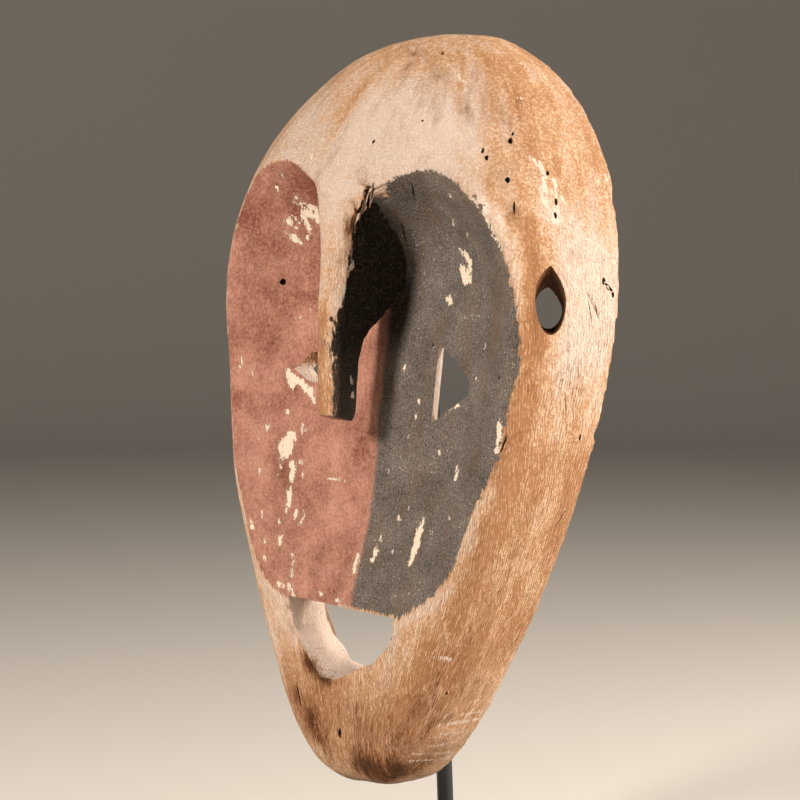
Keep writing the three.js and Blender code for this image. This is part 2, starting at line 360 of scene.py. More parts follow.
hollow = oval_solid(
    "hollow", columns=256, rows=192, back=25,
    height_of=lambda t: mix(CHIN_WALL, MASK_HEIGHT - CROWN_WALL, (1 + t) / 2),
    section_of=hollow_section,
)
x, y, z = positions(hollow).T
near_mouth = np.clip((MOUTH_TOP + 25 - z) / 25, 0, 1)
deepest = face_depth(x, z, 0.93) + mix(PLATE, MOUTH_WALL, near_mouth)
place(hollow, x, np.maximum(y, np.minimum(deepest, rim(z) + 20)), z)
join_or_cut(mask, hollow, "DIFFERENCE")

# The carver's and time's marks in the wood's surface: long shallow cuts of the adze over the
# dome, gouge scoops in the hollow, torn fibres on the nose's left flank, dents and cracks.
VOXEL = 1.25
remesh = mask.modifiers.new("even_skin", "REMESH")
remesh.mode, remesh.voxel_size = "VOXEL", VOXEL
soften = mask.modifiers.new("soften", "SMOOTH")
soften.factor, soften.iterations = 0.5, 3
apply_modifiers(mask)


def wander(points, sizes, seed):
    """Smooth noise from -1 to 1 at rows of points; sizes are its lengths along x, y and z."""
    scaled = points / np.array(sizes) + seed * 17.3
    return np.array([noise.noise(p) for p in scaled.tolist()])


def scoops(points, sizes):
    """Gouge marks: 0 in the middle of each scoop, about 1 on the ridges between them."""
    scaled = points / np.array(sizes)
    return np.array([noise.voronoi(p)[0][0] for p in scaled.tolist()])


def normals(item):
    flat = np.empty(len(item.data.vertices) * 3)
    item.data.vertex_normals.foreach_get("vector", flat)
    return flat.reshape(-1, 3)


def wood_zones(x, y, z):
    """How far each point lies in the hollow, on the cut face and on the nose's left flank."""
    t = span(z)
    power = squareness(t)
    level = (np.abs(x) / np.maximum(half_width(t), 1)) ** power
    level += (np.maximum(rim(z) - y, 0) / np.maximum(bulge(t), 1)) ** power
    depth = face_depth(x, z)
    inside = (level < 0.88) & (y > depth + 4) & (z > 10) & (z < MASK_HEIGHT - 10)
    painted = face_reach(x, z) - np.hypot(x, z - FACE_MIDDLE)
    on_flank = (y < depth - 2) & (x > 4) & (z > 210) & (painted > -2)
    return inside, painted, on_flank


def blobs(points, spots):
    """Sum of soft round spots (x, y, z, radius, strength)."""
    total = np.zeros(len(points))
    for *middle, radius, strength in spots:
        distance = np.linalg.norm(points - middle, axis=1)
        total += strength * np.exp(-((distance / radius) ** 2))
    return total


def edge_distance(points, strokes):
    """Distance to the edge of the nearest stroke (start, end, radius), negative inside it."""
    size = points.shape[1]
    nearest = np.full(len(points), 20.0)
    for stroke in strokes:
        start, run = np.array(stroke[:size]), np.array(stroke[size:-1]) - stroke[:size]
        t = np.clip((points - start) @ run / (run @ run), 0, 1)
        away = np.linalg.norm(points - start - t[:, None] * run, axis=1)
        nearest = np.minimum(nearest, away - stroke[-1])
    return nearest


def soft_strokes(points, strokes):
    """Sum of soft strokes (start, end, radius, strength)."""
    total = np.zeros(len(points))
    for *ends, radius, strength in strokes:
        distance = edge_distance(points, [(*ends, 0)])
        total += strength * np.exp(-((distance / radius) ** 2))
    return total


SPLIT_FIBRES = [(12, -49, 318, 6, 1.0), (14, -46, 325, 7, 1.4), (18, -45, 336, 7, 1.4)]


def split_gaps(points):
    """The dark gaps between torn fibres, 1 in the middle of each gap."""
    torn = (points[:, 0] > 6) * np.minimum(blobs(points, SPLIT_FIBRES), 1)
    return torn * step(np.abs(wander(points, (40, 3.5, 70), 5)), 0.3, 0.05)


DENTS_AND_CHIPS = [
    (103, -27, 326, 5, -1.6), (101, -29, 318, 4, -0.8), (84, -36, 334, 4, 0.9),
    (90, -35, 329, 4, 0.9), (98, -33, 315, 4, 0.8), (113, -26, 296, 6, -0.8),
    (115, -25, 280, 6, -0.8), (116, -24, 264, 6, -0.8), (121, 36, 348, 8, 1.2),
    (133, 26, 293, 5, -1.2), (123, 25, 205, 4, -1.4), (122, 25, 199, 4, 0.8),
    (132, 20, 288, 4, -1.0), (12, -57, 306, 5, -0.7), (56, -20, 46, 10, -0.7),
    (31, -10, 8, 12, 2.0), (-16, -24, 3, 9, 1.2), (14, -30, 3, 8, -0.9), (122, 18, 352, 16, -1.6),
    (126, 34, 333, 4, -1.2), (104, -28, 324, 4, -1.2), (115, -23, 300, 6, -0.8),
    (116, -22, 272, 6, -0.7), (116, -22, 250, 6, -0.6),
]

CRACKS = [
    (131, 7, 283, 132, 15, 272, 0.9, -1.0), (37, -39, 344, 34, -25, 333, 0.8, -0.7),
    (128, 12, 226, 124, 8, 206, 0.8, -0.8), (111, -30, 268, 112, -28, 246, 0.9, -0.7),
    (115, -24, 318, 118, -23, 289, 1.6, -0.8), (118, -23, 289, 117, -23, 250, 1.6, -0.8),
    (-28, -43, 52, -20, -44, 38, 1.0, -0.9), (-12, -45, 50, -9, -45, 40, 0.9, -0.8),
    (20, -46, 62, 22, -45, 50, 0.9, -0.5), (78, -12, 106, 74, -14, 92, 1.0, -0.8),
    (0, 11, 419, 33, -3, 404, 3.5, -0.8), (33, -3, 404, 60, -16, 384, 3.5, -0.8),
    (4, 17, 423, 38, 1, 408, 3, 0.5),
]

points = positions(mask)
x, y, z = points.T
inside, painted, on_flank = wood_zones(x, y, z)
on_face = step(painted, -6, 6)
height = np.where(inside, 0, 1) * mix(0.9, 0.35, on_face) * wander(points, (30, 30, 55), 1)
height += mix(0.25, 0.12, on_face) * wander(points, (9, 9, 14), 2)
SCOOP_SIZE, SCOOP_DEPTH = (15, 15, 24), 1.1
height += np.where(inside, SCOOP_DEPTH * scoops(points, SCOOP_SIZE) - 0.4, 0)
rough = on_flank * step(z, 245, 275) * step(y, -54, -47)
height += rough * 1.1 * wander(points, (4, 3.2, 16), 3)
height += rough * 0.6 * wander(points, (2.2, 2.2, 7), 4)
height -= 3 * split_gaps(points)
height += blobs(points, DENTS_AND_CHIPS) + soft_strokes(points, CRACKS)
points += normals(mask) * height[:, None]
x, y, z = points.T
place(mask, x, y, np.minimum(z, MASK_HEIGHT - 0.1))

# The skin is thinned, most of all in the hollow, which is smoother than the front.
TRIANGLES = 165_000
HOLLOW_THINNING, FRONT_THINNING = 1.0, 0.35
thin = mask.modifiers.new("thin", "DECIMATE")
thin.ratio = TRIANGLES / (2 * len(mask.data.polygons))
thin.use_collapse_triangulate = True
back = mask.vertex_groups.new(name="back")
back.add(np.flatnonzero(inside).tolist(), HOLLOW_THINNING, "REPLACE")
back.add(np.flatnonzero(~inside).tolist(), FRONT_THINNING, "REPLACE")
thin.vertex_group, thin.vertex_group_factor = "back", 1.0
apply_modifiers(mask)
for cut_material in (cut_wood, pit_wood):
    mask.data.materials.append(cut_material)

# The cuts right through the wood: mouth, eyes and cord holes are cut with a knife, so their
# edges are sharp and their walls slightly faceted. The eyes' corners are given as x and z; a
# cord hole slants forwards through the side wall and narrows and drops a little inwards.
MOUTH_HALF_WIDTH, MOUTH_DROP, MOUTH_OFFSET, MOUTH_SLOPE, MOUTH_FLARE = 41, 36, -4, -0.06, 0.0027
LEFT_EYE = [(41.2, 254), (54.6, 244.5), (60, 240.5), (65.5, 234.5), (67.3, 232.5),
            (65.8, 226), (57.8, 221), (47.4, 215), (39.6, 209.5)]
RIGHT_EYE = [(-41, 249), (-52.7, 246.4), (-57.5, 246), (-67.5, 236), (-56.7, 229.4),
             (-50, 228), (-41, 222)]
EYE_DEPTH = -14.5
CORD_HOLE_HEIGHT, CORD_HOLE_DEPTH, CORD_HOLE_INSET, CORD_HOLE_ANGLE = 281, -14, 11, radians(46)
CORD_HOLE_HALF_LENGTH, CORD_HOLE_HALF_WIDTH = 19.7, 8.6
CORD_HOLE_SHORTENING, CORD_HOLE_NARROWING, CORD_HOLE_DROP = 8.2, 0.9, 5.2
CORD_HOLE_START, CORD_HOLE_WALL = 1.3, 13.3


def pushed_through(name, outline, front, back, cuts):
    """A flat outline in the front view, pushed through the wall from front to back."""
    bm = bmesh.new()
    face = bm.faces.new([bm.verts.new((x, front, z)) for x, z in outline])
    bmesh.ops.subdivide_edges(bm, edges=bm.edges, cuts=1)
    grown = bmesh.ops.extrude_face_region(bm, geom=bm.faces[:])["geom"]
    moved = [v for v in grown if isinstance(v, bmesh.types.BMVert)]
    bmesh.ops.translate(bm, verts=moved, vec=(0, back - front, 0))
    long_edges = [e for e in bm.edges if abs(e.verts[0].co.y - e.verts[1].co.y) > 1]
    bmesh.ops.subdivide_edges(bm, edges=long_edges, cuts=cuts)
    bmesh.ops.recalc_face_normals(bm, faces=bm.faces)
    return mesh_object(name, bm, cut_wood, smooth=False)


def bezier(a, b, c, d, steps):
    """Points along a curve from a to d, pulled towards b and c."""
    s = np.linspace(0, 1, steps)[:, None]
    a, b, c, d = (np.array(p) for p in (a, b, c, d))
    return (1 - s) ** 3 * a + 3 * s * (1 - s) ** 2 * b + 3 * s**2 * (1 - s) * c + s**3 * d


reach = MOUTH_HALF_WIDTH
bottom = (0, -MOUTH_DROP)
right_half = bezier(
    (-reach, -MOUTH_SLOPE * reach), (-reach, -0.62 * MOUTH_DROP), (-reach / 2, -MOUTH_DROP),
    bottom, 5,
)
left_half = bezier(
    bottom, (reach / 2, -MOUTH_DROP), (reach, -0.62 * MOUTH_DROP), (reach, MOUTH_SLOPE * reach),
    12,
)
mouth = pushed_through("mouth", np.concatenate([right_half, left_half[1:]]), -70, 0, 8)
x, y, z = positions(mouth).T
wider = 1 + MOUTH_FLARE * (y - block_front(0, MOUTH_TOP))
worn_down = 10 * np.exp(-(((x + 12) / 15) ** 2)) * step(y, -31, -47) * (z < -16)
facets = mix(0.03, 0.15, step(y, -48, -38)) * wander(positions(mouth), (10, 11, 10), 7)
wider = wider + np.where(z < -4, facets, 0)
place(mouth, MOUTH_OFFSET + x * wider, y, MOUTH_TOP + z * wider - worn_down)
join_or_cut(mask, mouth, "DIFFERENCE")

for name, corners, inner_slant, outer_slant, back in (
    ("left_eye", LEFT_EYE, -0.33, 0, 20),
    ("right_eye", RIGHT_EYE, 0, 1, 4),
):
    eye = pushed_through(name, corners, -26, back, 8)
    x, y, z = positions(eye).T
    inner = min(abs(corner[0]) for corner in corners)
    outer = max(abs(corner[0]) for corner in corners)
    slant = mix(inner_slant, outer_slant, (np.abs(x) - inner) / (outer - inner))
    place(eye, x + (y - EYE_DEPTH) * slant, y, z)
    join_or_cut(mask, eye, "DIFFERENCE")

for side in (1, -1):
    bm = bmesh.new()
    bmesh.ops.create_cone(bm, cap_ends=True, segments=48, radius1=1, radius2=1, depth=60)
    hole = mesh_object("cord_hole", bm, cut_wood)
    a, b, along = positions(hole).T
    inward = (CORD_HOLE_START - along) / CORD_HOLE_WALL
    long = CORD_HOLE_HALF_LENGTH - CORD_HOLE_SHORTENING * inward
    z = CORD_HOLE_HEIGHT - CORD_HOLE_DROP * inward + b * long
    wide = CORD_HOLE_HALF_WIDTH - CORD_HOLE_NARROWING * inward
    a = np.sign(a) * np.maximum(1 - b**2, 0) ** np.where(b > 0, 0.95, 0.5)
    middle = half_width(span(CORD_HOLE_HEIGHT)) - CORD_HOLE_INSET
    x = middle + along * cos(CORD_HOLE_ANGLE) + a * wide * sin(CORD_HOLE_ANGLE)
    y = CORD_HOLE_DEPTH - along * sin(CORD_HOLE_ANGLE) + a * wide * cos(CORD_HOLE_ANGLE)
    place(hole, side * x, y, z)
    bm = bmesh.new()
    bm.from_mesh(hole.data)
    bmesh.ops.recalc_face_normals(bm, faces=bm.faces)
    bm.to_mesh(hole.data)
    bm.free()
    join_or_cut(mask, hole, "DIFFERENCE")

# Worm holes, a nail hole and cracks: narrow cuts that run square into the wood. A pit has its
# place in the front view, its radius and how many times higher than wide it is; a crack has
# its two ends and half its width.
PITS = [
    (-80.1, 286.7, 2.2, 1), (92, 366.1, 1.5, 1.6), (91.3, 370, 0.8, 2), (81.7, 360.8, 0.9, 2.2),
    (85.1, 356.9, 1.2, 1.5), (98.3, 344.7, 1.6, 1.2), (111.5, 348.7, 1.2, 1.4),
    (39.9, 378, 0.8, 1.2), (11.9, 366.7, 1, 1.6), (23.5, 417.2, 1.2, 1.3), (70.7, 409.2, 0.7, 1),
    (118.1, 333, 1.0, 2.6), (119.5, 326.1, 1.2, 2), (132.5, 289.9, 2.2, 1.4),
    (132.9, 282.9, 1.3, 1.8), (132.75, 286.6, 1.3, 1.5), (-5.6, 32.4, 1.3, 2.6),
    (36, 252.8, 0.9, 1), (97.5, 238, 0.9, 1.5), (-44, 299, 0.6, 1), (122, 205, 0.8, 2.5),
    (64, 62, 0.9, 1.5),
]
OPEN_CRACKS = [
    (19.2, -45.5, 342, 14.6, -44, 327, 0.9), (21.8, -46, 345, 18.8, -44, 336, 0.5),
    (16.2, -48, 336, 13, -49, 326, 0.8), (12.8, -48.6, 322, 12.4, -48.6, 320.5, 1.6),
    (42, -37, 344, 34, -25, 333, 0.5), (19.5, -21.7, 324, 11.6, -8, 306, 0.6),
    (104, -23.5, 333, 104.3, -24, 326, 0.6), (130, 7.5, 281, 130.7, 11, 267, 0.3),
    (131, 13, 278, 131.3, 16, 269, 0.35), (123.8, -4, 231, 122.8, -1.6, 216, 0.25),
    (132.4, 20.5, 290, 132.9, 27, 284, 1.2), (112, 15, 166.5, 108, 8.7, 155, 0.35),
    (106.2, -31.7, 208, 102.9, -33.7, 197, 0.6), (-39, -44, 57, -36, -44, 44, 0.5),
    (-18, -45.5, 66, -20, -45.5, 60, 0.4),
]
PIT_DEPTH, PIT_TOP, PIT_BOTTOM = 6, 1.25, 0.5


def sink(bm, start, end, half_wide):
    """Adds a narrow tapered cutter that lies across the surface from start to end."""
    middle = (start + end) / 2
    x, z = middle.x, middle.z
    sides = carved_front(np.array([x - 0.5, x + 0.5, x, x]), np.array([z, z, z - 0.5, z + 0.5]))
    inward = Vector((sides[0] - sides[1], 1, sides[2] - sides[3])).normalized()
    across = (end - start).cross(inward).normalized()
    turn = Matrix((across, inward.cross(across), inward)).transposed().to_4x4()
    half_long = half_wide + (end - start).length / 2
    bmesh.ops.create_cone(
        bm, cap_ends=True, segments=14, radius1=PIT_TOP, radius2=PIT_BOTTOM, depth=PIT_DEPTH,
        matrix=Matrix.Translation(middle) @ turn @ Matrix.Diagonal((half_wide, half_long, 1, 1)),
    )


bm = bmesh.new()
for x, z, radius, length in PITS:
    middle = Vector((x, float(carved_front(np.array([x]), np.array([z]))[0]), z))
    up = Vector((0, 0, radius * (length - 1) + 0.01))
    sink(bm, middle - up, middle + up, radius)
for *ends, half_wide in OPEN_CRACKS:
    sink(bm, Vector(ends[:3]), Vector(ends[3:]), half_wide)
pits = mesh_object("pits", bm, pit_wood)
x, y, z = positions(pits).T
place(pits, x + 0.3 * np.sin(2.1 * z), y, z + 0.3 * np.sin(2.3 * x))
join_or_cut(mask, pits, "DIFFERENCE")

# Where a cut just grazes the skin it leaves slivers and fins without thickness, which go.
SLIVER = 0.002
bm = bmesh.new()
bm.from_mesh(mask.data)
bmesh.ops.dissolve_degenerate(bm, dist=SLIVER, edges=bm.edges)
bmesh.ops.triangulate(bm, faces=bm.faces)
by_corners = {}
for face in bm.faces:
    by_corners.setdefault(frozenset(face.verts), []).append(face)
fins = [face for faces in by_corners.values() if len(faces) > 1 for face in faces]
bmesh.ops.delete(bm, geom=fins, context="FACES")
bm.to_mesh(mask.data)
bm.free()

# Where the paint, its losses, the rubbed places and the dirt lie, with painted shade by the
# nose, in cuts and pits, under the chin and the mouth's top edge, and painted light on the
# mouth's wall. A spot has its middle, radius and strength; a stroke has its two ends, radius
# and, if it is soft, strength. All are kept at the mesh's corners, in millimetres or from 0 to
# 1, and the material breaks their edges up.
BARE_PATCHES = [
    (18, 352, 18, 364, 9), (29.5, 358, 29.5, 349, 5.5), (27, 345, 23, 338, 2.3),
    (-14, 349, -5, 331, 8),
]
SCRATCHES = [
    (-63, -31, 377.1, -47.5, -33, 365, 0.9), (-52.8, -32, 376.2, -41.9, -34, 367.7, 0.8),
    (-69.6, -27, 373.7, -54.5, -33, 363.4, 0.9), (-76.4, -24, 369.8, -63.8, -30, 362.4, 0.6),
    (-36.8, -38, 363, -30.6, -39, 357.2, 0.7), (-81.7, -23, 364.1, -72.2, -27, 359.1, 0.7),
    (53, -28, 41, 54, 6, 41, 0.5), (38, -34, 21, 35, 4, 16, 0.6), (41, -35, 25, 40, 1, 21, 0.5),
    (57, -15, 46, 57, 3, 46, 0.5), (63, -42, 83, 71, -36, 82, 0.5),
    (61, -12, 52, 62, -4, 54, 0.5), (50, -22, 35, 49, 5, 34, 0.4), (45, -29, 28, 45, -3, 28, 0.4),
    (30, -8, 12, 31, 3, 12, 0.5), (107, -6, 354, 112, -6, 346, 0.9),
    (111, -8, 345, 114, -8, 338, 0.9), (115, -10, 334, 118, -9, 327, 0.9),
    (115, -6, 339, 119, -3, 334, 1.0), (119, -5, 331, 120, -8, 323, 1.1),
    (119, -1, 336, 121, 0, 332, 0.8), (82, 4, 391, 85, 6, 390, 0.7),
    (123, 23, 342, 122, 29, 345, 0.6), (121, 33, 348, 123, 34, 344, 0.9),
    (90, -33, 335, 94, -34, 327, 1.6), (34, 3, 410, 48, -2, 402, 0.5),
    (43, -2, 404, 53, -4, 399, 0.5), (86, -36, 334, 92, -35, 327, 1.2),
    (94, -35, 323, 103, -33, 307, 1.0), (7.1, -48.3, 235, 7.1, -47.8, 231.5, 1.0),
    (7.1, -47.8, 227.5, 7.1, -47.5, 224.5, 1.1), (9.4, -50.3, 300, 9, -50.5, 296, 1.3),
    (8.4, -54.9, 286.5, 8.3, -55, 284, 0.9), (104, -9, 357, 108, -6, 350, 1.0),
    (111, -10, 341, 114, -11, 332, 1.2), (116, -8, 338, 117, -10, 330, 1.3),
    (114, -2, 345, 118, -3, 338, 0.9), (121, -4, 326, 122, -6, 321, 1.0),
    (123, 3, 328, 123, 1, 322, 0.8), (131.5, 12, 294, 132, 17, 290, 0.9),
    (132.4, 15, 286, 132.6, 19, 283, 0.7), (64, -41, 84, 71.5, -35, 81.7, 0.5),
    (53, -28, 41.6, 54.3, 6, 40.8, 0.6), (37.6, -33.4, 20.5, 36.4, 2.3, 17.1, 0.6),
    (49, -30, 34, 50, -8, 33.5, 0.4),
]
BARE_LIMIT = [(205, -60.5), (245, -60.5), (253, -61.5), (268, -60), (274, -57.5), (287, -54.5),
              (297, -53), (316, -50.5), (326, -46), (338, -40), (346, -34)]
LOST_RED = [
    (-67.1, 351.3, -68, 347, 0.6), (-75, 342.1, -75.7, 340.1, 0.5),
    (-63.7, 337.9, -66.8, 332.6, 1), (-61.2, 336.5, -61.1, 332.6, 0.7),
    (-62.9, 334.3, -62.7, 329.1, 1), (-62.7, 329.1, -65.3, 324.7, 1),
    (-58.2, 331.3, -56.5, 329, 1.9), (-62.1, 327.3, -54.7, 324.9, 2.5),
    (-63.6, 324.9, -62.4, 317.9, 1.6), (-54, 329.6, -55.6, 322.6, 1.8),
    (-75.5, 322.6, -72.1, 319.1, 1.3), (-73.5, 323.8, -73.2, 322, 1.2),
    (-70.6, 326.1, -70.9, 324.9, 0.5), (-73.1, 328.7, -73.3, 327.8, 0.5),
    (-68.7, 323.2, -69, 321.1, 0.6), (-64.6, 313.8, -64.8, 312.6, 0.6),
    (-57.8, 315.6, -58.3, 313.2, 0.6), (-73, 313.2, -71.4, 311.4, 1.7),
    (-71.4, 311.4, -69.3, 309.4, 1.1), (-86.1, 312.6, -86.2, 312, 0.4),
    (-77.2, 315.8, -77, 315.2, 0.5), (-73.3, 234.6, -68.8, 226, 1.9),
    (-70.9, 231.2, -63.7, 228.5, 2), (-63.7, 229.1, -54.8, 221.9, 2.1),
    (-55.1, 224.2, -51.7, 217.4, 2.1), (-64.2, 197.1, -65.3, 187.9, 3.4),
    (-69.1, 194.1, -69.4, 190, 2), (-68, 186.1, -67.7, 178.6, 0.7),
    (-68.7, 175.1, -68.8, 172.2, 0.7), (-60.4, 181.2, -59, 176.6, 2),
    (-59.5, 176.6, -58.2, 166.3, 1.2), (-58.9, 166.3, -57.7, 158.3, 1.9),
    (-55.7, 183.7, -55, 181.4, 0.8), (-52.4, 176.9, -51.8, 174.1, 0.7),
    (-58.1, 204.3, -57.5, 199.1, 0.7), (-69.2, 212, -68.9, 210.6, 0.7),
    (-80.4, 201.8, -79.7, 201.2, 1.2), (-33.7, 174.6, -17.7, 174, 0.4),
    (-51.8, 154.1, -50.4, 151.4, 1.5), (-46.2, 154.4, -47, 147.6, 1.1),
    (-62, 149, -61.4, 146.7, 0.8), (-58.3, 155.4, -58.1, 154.3, 0.6),
    (-73.5, 153, -73.2, 150.7, 0.6), (-58, 139, -58.5, 136.1, 1.5), (-69.6, 137.6, -69, 136, 0.9),
    (-80.1, 146.8, -79.1, 143.4, 1.2), (-101.1, 243.4, -100.2, 236.4, 0.5),
    (-93.9, 234.8, -93, 232.5, 0.6), (-46.2, 113.3, -41.5, 106.8, 1.4),
    (-54.3, 113.7, -50.1, 112.3, 1.3), (-21.2, 111, -19.4, 110, 0.9),
    (-7.6, 108.3, -5.9, 107.4, 1), (-47.7, 131.2, -45.5, 126.3, 0.8),
    (-46, 122.9, -43.9, 117.5, 1), (-67.9, 127.4, -66.8, 125.8, 1.1),
    (-68.3, 266.9, -68.2, 265.7, 0.6), (-62.3, 271.1, -61.3, 269.4, 0.7),
    (-55.4, 201.6, -55.2, 200.4, 0.9), (-78.9, 177.1, -78, 175.4, 0.6),
]
LOST_BLACK = [
    (52.1, 306.6, 55.6, 304.9, 0.9), (55.6, 304.9, 60.6, 300.6, 1.8),
    (60.6, 300.6, 59.8, 296.7, 1.9), (53.1, 296, 54.9, 289.4, 2.7), (57.7, 294.4, 58.5, 289.4, 2),
    (43.6, 279.1, 44.5, 278, 2.2), (53.2, 322.7, 52.4, 321, 1), (67.6, 186.6, 68.4, 181.8, 1.6),
    (68.3, 161.2, 69, 160.2, 0.8), (52.3, 218.4, 59.3, 220.9, 1.2),
    (102, 214.1, 102.2, 207.1, 1.6), (102.2, 207.1, 101, 198.4, 1.3),
    (45.8, 158, 45.5, 151.5, 1.4), (44.7, 151.4, 44.4, 140.5, 2.9),
    (44.4, 140.5, 42.9, 133.4, 1.5), (26, 156.6, 26.3, 155.3, 1.2),
    (14.9, 145.5, 15.6, 143.4, 0.9), (13.9, 138.9, 13, 132.2, 1.5), (0.8, 133.3, 0.4, 125.6, 1.7),
    (54.7, 152.3, 55.2, 151.3, 1), (16.6, 240.8, 16.9, 239.1, 1), (29.8, 222.9, 30, 221.2, 0.7),
    (28.9, 215.6, 29.2, 213.3, 0.7), (25.9, 202, 26, 201.2, 0.7), (27, 138.4, 26.6, 137.3, 0.7),
    (31.5, 162.3, 31.8, 161.2, 0.6), (49.9, 194.5, 50.1, 193.4, 0.6),
    (64.3, 316.1, 63.7, 314.7, 0.8), (62.5, 336.9, 61.5, 335.8, 0.8),
    (77.7, 254.7, 77.9, 253.7, 0.7), (71.7, 236.4, 72.5, 235.3, 0.6),
    (12.7, 182.2, 12.9, 181.1, 0.5), (36.7, 252.2, 37, 251.1, 0.5),
]
RUBBED_PALE = [
    (45, -38, 358, 24, 1.2), (9, -35, 368, 28, 0.8), (34, -26, 379, 30, 0.7),
    (62, -28, 367, 20, 0.5), (-7, -47, 346, 18, 0.6), (0, -54, 326, 16, 0.6),
    (0, -61, 285, 16, 0.4), (130, 9, 302, 24, 1.05), (132, 16, 269, 22, 1.0),
    (128, 0, 253, 16, 0.65), (126, 11, 225, 20, 0.25), (-55, -45, 90, 20, 0.8),
    (22, -45, 55, 14, 0.3), (-59, -21, 378, 22, 0.8), (-28, -37, 363, 14, 0.55),
    (-4, -20, 392, 26, 0.25), (116, -12, 326, 10, 0.5),
]
HONEY = [
    (114, -24, 227, 13, 0.5), (108, -26, 183, 13, 0.5), (100, -30, 156, 13, 0.5),
    (91, -19, 115, 18, 0.5), (77, -28, 87, 18, 0.4), (116, 1, 345, 14, 0.2),
    (116, 15, 181, 22, 0.65), (105, 16, 146, 22, 0.7), (84, 12, 100, 24, 0.55),
    (-89, -11, 370, 22, 0.15), (-30, -45, 42, 22, 0.6), (90, -10, 60, 24, 0.3),
    (-42, -40, 66, 18, 0.4), (0, -45, 40, 22, 0.45), (0, -61, 232, 14, 0.15),
    (66, -38, 78, 14, 0.55), (115, -23, 265, 14, 0.45), (104, -28, 196, 12, 0.45),
    (40, -44, 50, 20, 0.85),
]
STAINS_AND_SHADE = [
    (0, 11, 419, 33, -3, 404, 4, 0.3), (33, -3, 404, 60, -16, 384, 4, 0.22),
    (-20, 14, 418, 0, 11, 419, 4, 0.25), (60, -16, 384, 74, -18, 374, 4, 0.25),
    (-81, 45, 419, -31, 26, 425, 7, 0.35), (-37, -45, 53, -25, -45, 34, 7, 0.4),
    # Strokes low on the chin, on this line and the next, darken it partly as grime and partly as
    # painted shade on its underside.
    (-25, -45, 34, -15, -43, 18, 7, 0.4), (3, -42, 15, 27, -42, 18, 7, 0.45),
    (12, -43, 12, 30, -36, 10, 9, 0.3), (30, -38, 14, 42, -8, 20, 9, 0.3),
    # The stroke from x -46, z 105 back along the mouth's top edge is painted shadow under that
    # edge.
    (6, -61, 240, 6, -61, 216, 3, 0.6), (-46, -35, 105, -45, -17, 105, 2.5, 3.5),
    (-32, -47, 74, -16, -47, 62, 5, 0.8), (-16, -47, 62, 0, -47, 62, 4, 0.5),
    (6, -58, 300, 5, -60, 285, 3, 0.5), (82, -33, 105, 67, -34, 70, 6, 0.3),
]
DARKENED = [
    (59, 18, 413, 83, 7, 392, 9, 0.4), (83, 7, 392, 101, -8, 361, 9, 0.4),
    (112, -20, 321, 117, -23, 289, 6, 1.0), (117, -23, 289, 117, -23, 256, 6, 1.1),
    (117, -23, 256, 111, -27, 216, 6, 0.9), (111, -27, 216, 104, -31, 183, 6, 1.0),
    (104, -31, 183, 91, -36, 139, 6, 0.6), (91, -36, 139, 76, -39, 105, 6, 0.4),
    (-1, -61, 330, -6, -61, 216, 2, 0.4),
]
# Spots low on the chin, near z 10 to 35, darken it partly as grime and partly as painted shade on
# its underside.
SMUDGES_AND_SHADE = [
    (8, 4, 413, 9, 0.1), (38, -9, 398, 10, 0.05), (60, -13, 386, 9, 0.05), (-33, -45, 48, 9, 0.3),
    (-5, -45, 49, 7, 0.3), (32, -36, 15, 12, 0.3), (45, -16, 28, 14, 0.3), (73, -32, 82, 14, 0.3),
    (81, 2, 89, 14, 0.3), (100, -17, 138, 12, 0.4), (66, -15, 62, 14, 0.4),
    (-44, -44, 49, 6, 0.5), (96, -22, 348, 10, 0.3), (133, 21, 288, 5, 0.6),
    # The spot at x -38, z 104 here, and the one at x -45, z 101 three lines on, are painted shadow
    # under the mouth's top edge.
    (12, -56, 306, 6, 0.5), (105, -26, 327, 4, 0.8), (-38, -42, 104, 6, 1.4),
    (22, -40, 10, 14, 0.2), (38, -42, 32, 14, 0.3), (60, -38, 60, 14, 0.3),
    (-30, -45, 70, 8, 0.4), (-28, -40, 68, 6, 0.8), (78, -8, 384, 12, 0.2),
    (-45, -44, 101, 4, 1.0), (-44, -44, 90, 4, 0.7), (20, -44, 40, 16, 0.3),
    (48, -36, 50, 18, 0.45), (36, -20, 14, 18, 0.6), (116, -22, 272, 8, 0.3),
    (113, -25, 235, 8, 0.4), (108, -28, 205, 8, 0.4), (14, -42, 16, 18, 0.65),
    (-22, -45, 34, 16, 0.35), (10, -45, 42, 18, 0.25), (-27, -45, 40, 5, 0.35),
    (-20, -45, 28, 6, 0.35), (-14, -45, 62, 6, 0.6), (-2, -45, 60, 5, 0.4),
]


def store(item, name, values, kind="FLOAT"):
    """Keeps one value per vertex at every face corner of the mesh."""
    layer = item.data.attributes.new(name, kind, "CORNER")
    layer.data.foreach_set("vector" if kind == "FLOAT_VECTOR" else "value", values.ravel())


points = positions(mask)
x, y, z = points.T
inside, painted, on_flank = wood_zones(x, y, z)
depth = face_depth(x, z)
limit = np.interp(z, *zip(*BARE_LIMIT))
in_front = y < depth - 1.2
below_surface = y > depth + 2.5
beside_nose = (np.abs(x) < nose_spread(z) + 5) & (z > 208) & (z < 352)
coat = np.where(in_front, painted + 6, painted)
coat = np.where(beside_nose, np.minimum(coat, y - limit), coat)
front_view = points[:, [0, 2]]
coat = np.minimum(coat, edge_distance(front_view, BARE_PATCHES))
above_mouth = z - MOUTH_TOP - MOUTH_SLOPE * (x - MOUTH_OFFSET)
coat = np.where((x > -9) & (x < 40), np.minimum(coat, above_mouth - 1.1), coat)
coat = np.where(below_surface, -8, coat)
left_of_border = x - np.interp(z, [165, 221], [3, 0])
beside_flank = x - nose_spread(z)
